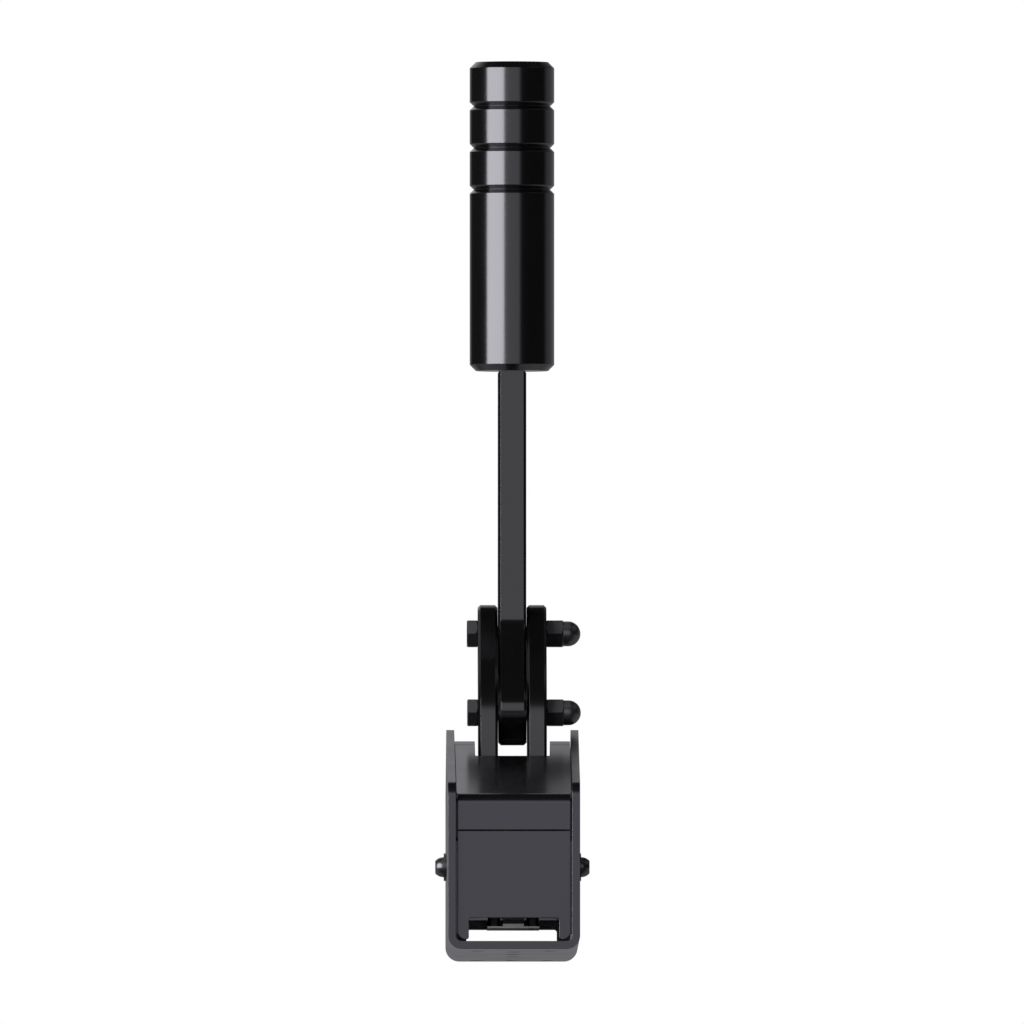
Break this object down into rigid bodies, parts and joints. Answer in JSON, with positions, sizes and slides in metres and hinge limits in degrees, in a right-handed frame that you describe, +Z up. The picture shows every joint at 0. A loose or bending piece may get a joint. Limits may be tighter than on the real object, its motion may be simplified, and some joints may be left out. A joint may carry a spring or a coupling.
{
  "type": "sim racing handbrake",
  "caption": "Upright racing handbrake lever on a folded steel base, with a round grooved grip, pivoting arms, a sprung plunger inside and mounting holes in its floor.",
  "frame": {"origin": "middle of the base channel's underside", "axes": "+X to the driver's right, +Y away from the driver, +Z up; the lever is pulled towards -Y"},
  "size_m": [0.0584, 0.175, 0.3396],
  "materials": {
    "powder_coat": "satin black powder coat on steel sheet",
    "black_anodised": "satin black anodised",
    "black_oxide": "black oxide",
    "bare_steel": "ground or bright",
    "bronze": "sintered bronze",
    "elastomer": "matt",
    "circuit_board": "black solder resist",
    "socket_plastic": "matt black nylon"
  },
  "bodies": {
    "housing": {"base_channel": "powder_coat", "front_plate": "powder_coat", "rear_plate": "powder_coat", "front_cover": "powder_coat", "rear_cover": "powder_coat", "stop_bar": "powder_coat", "board_tray": "powder_coat", "guide_block": "black_anodised", "wall_screws": "black_oxide", "side_washers": "black_oxide", "side_screws": "black_oxide", "preload_collar": "black_oxide", "pivot_axle": "bare_steel", "axle_spacers": "bare_steel", "return_spring": "bare_steel", "socket_screws": "bare_steel", "sensor_standoffs": "bare_steel", "guide_bush": "bronze", "end_bumper": "elastomer", "rest_pads": "elastomer", "controller_board": "circuit_board", "sensor_board": "circuit_board", "data_socket": "socket_plastic", "board_standoffs": "socket_plastic"},
    "lever": {"arm_left": "black_anodised", "arm_right": "black_anodised", "arm_bushes": "bronze", "hub_spacer": "bare_steel", "lever_bar": "black_anodised", "grip_stud": "bare_steel", "grip": "black_anodised", "lever_bolts": "black_oxide", "cap_nuts": "black_oxide", "roller_pin": "bare_steel", "sensor_magnet": "bare_steel"},
    "roller": {"roller": "bare_steel"},
    "plunger": {"plunger_head": "bare_steel", "plunger_rod": "bare_steel", "rod_nut": "black_oxide"}
  },
  "joints": [
    {"name": "lever_pull", "type": "hinge", "parent": "housing", "child": "lever", "pos_m": [0, 0.0275, 0.0341], "axis": [1, 0, 0], "range_deg": [0, 16], "stiffness_Nm_per_rad": 12, "springref_deg": -11.46},
    {"name": "plunger_slide", "type": "slide", "parent": "housing", "child": "plunger", "axis": [0, -1, 0], "range_m": [0, 0.0051], "deforming": ["return_spring"]},
    {"name": "roller_spin", "type": "hinge", "parent": "lever", "child": "roller", "pos_m": [0, 0.0275, 0.0521], "axis": [1, 0, 0], "continuous": true}
  ],
  "couplings": [
    {"joint": "plunger_slide", "follows": "lever_pull", "m_per_rad": 0.018}
  ]
}
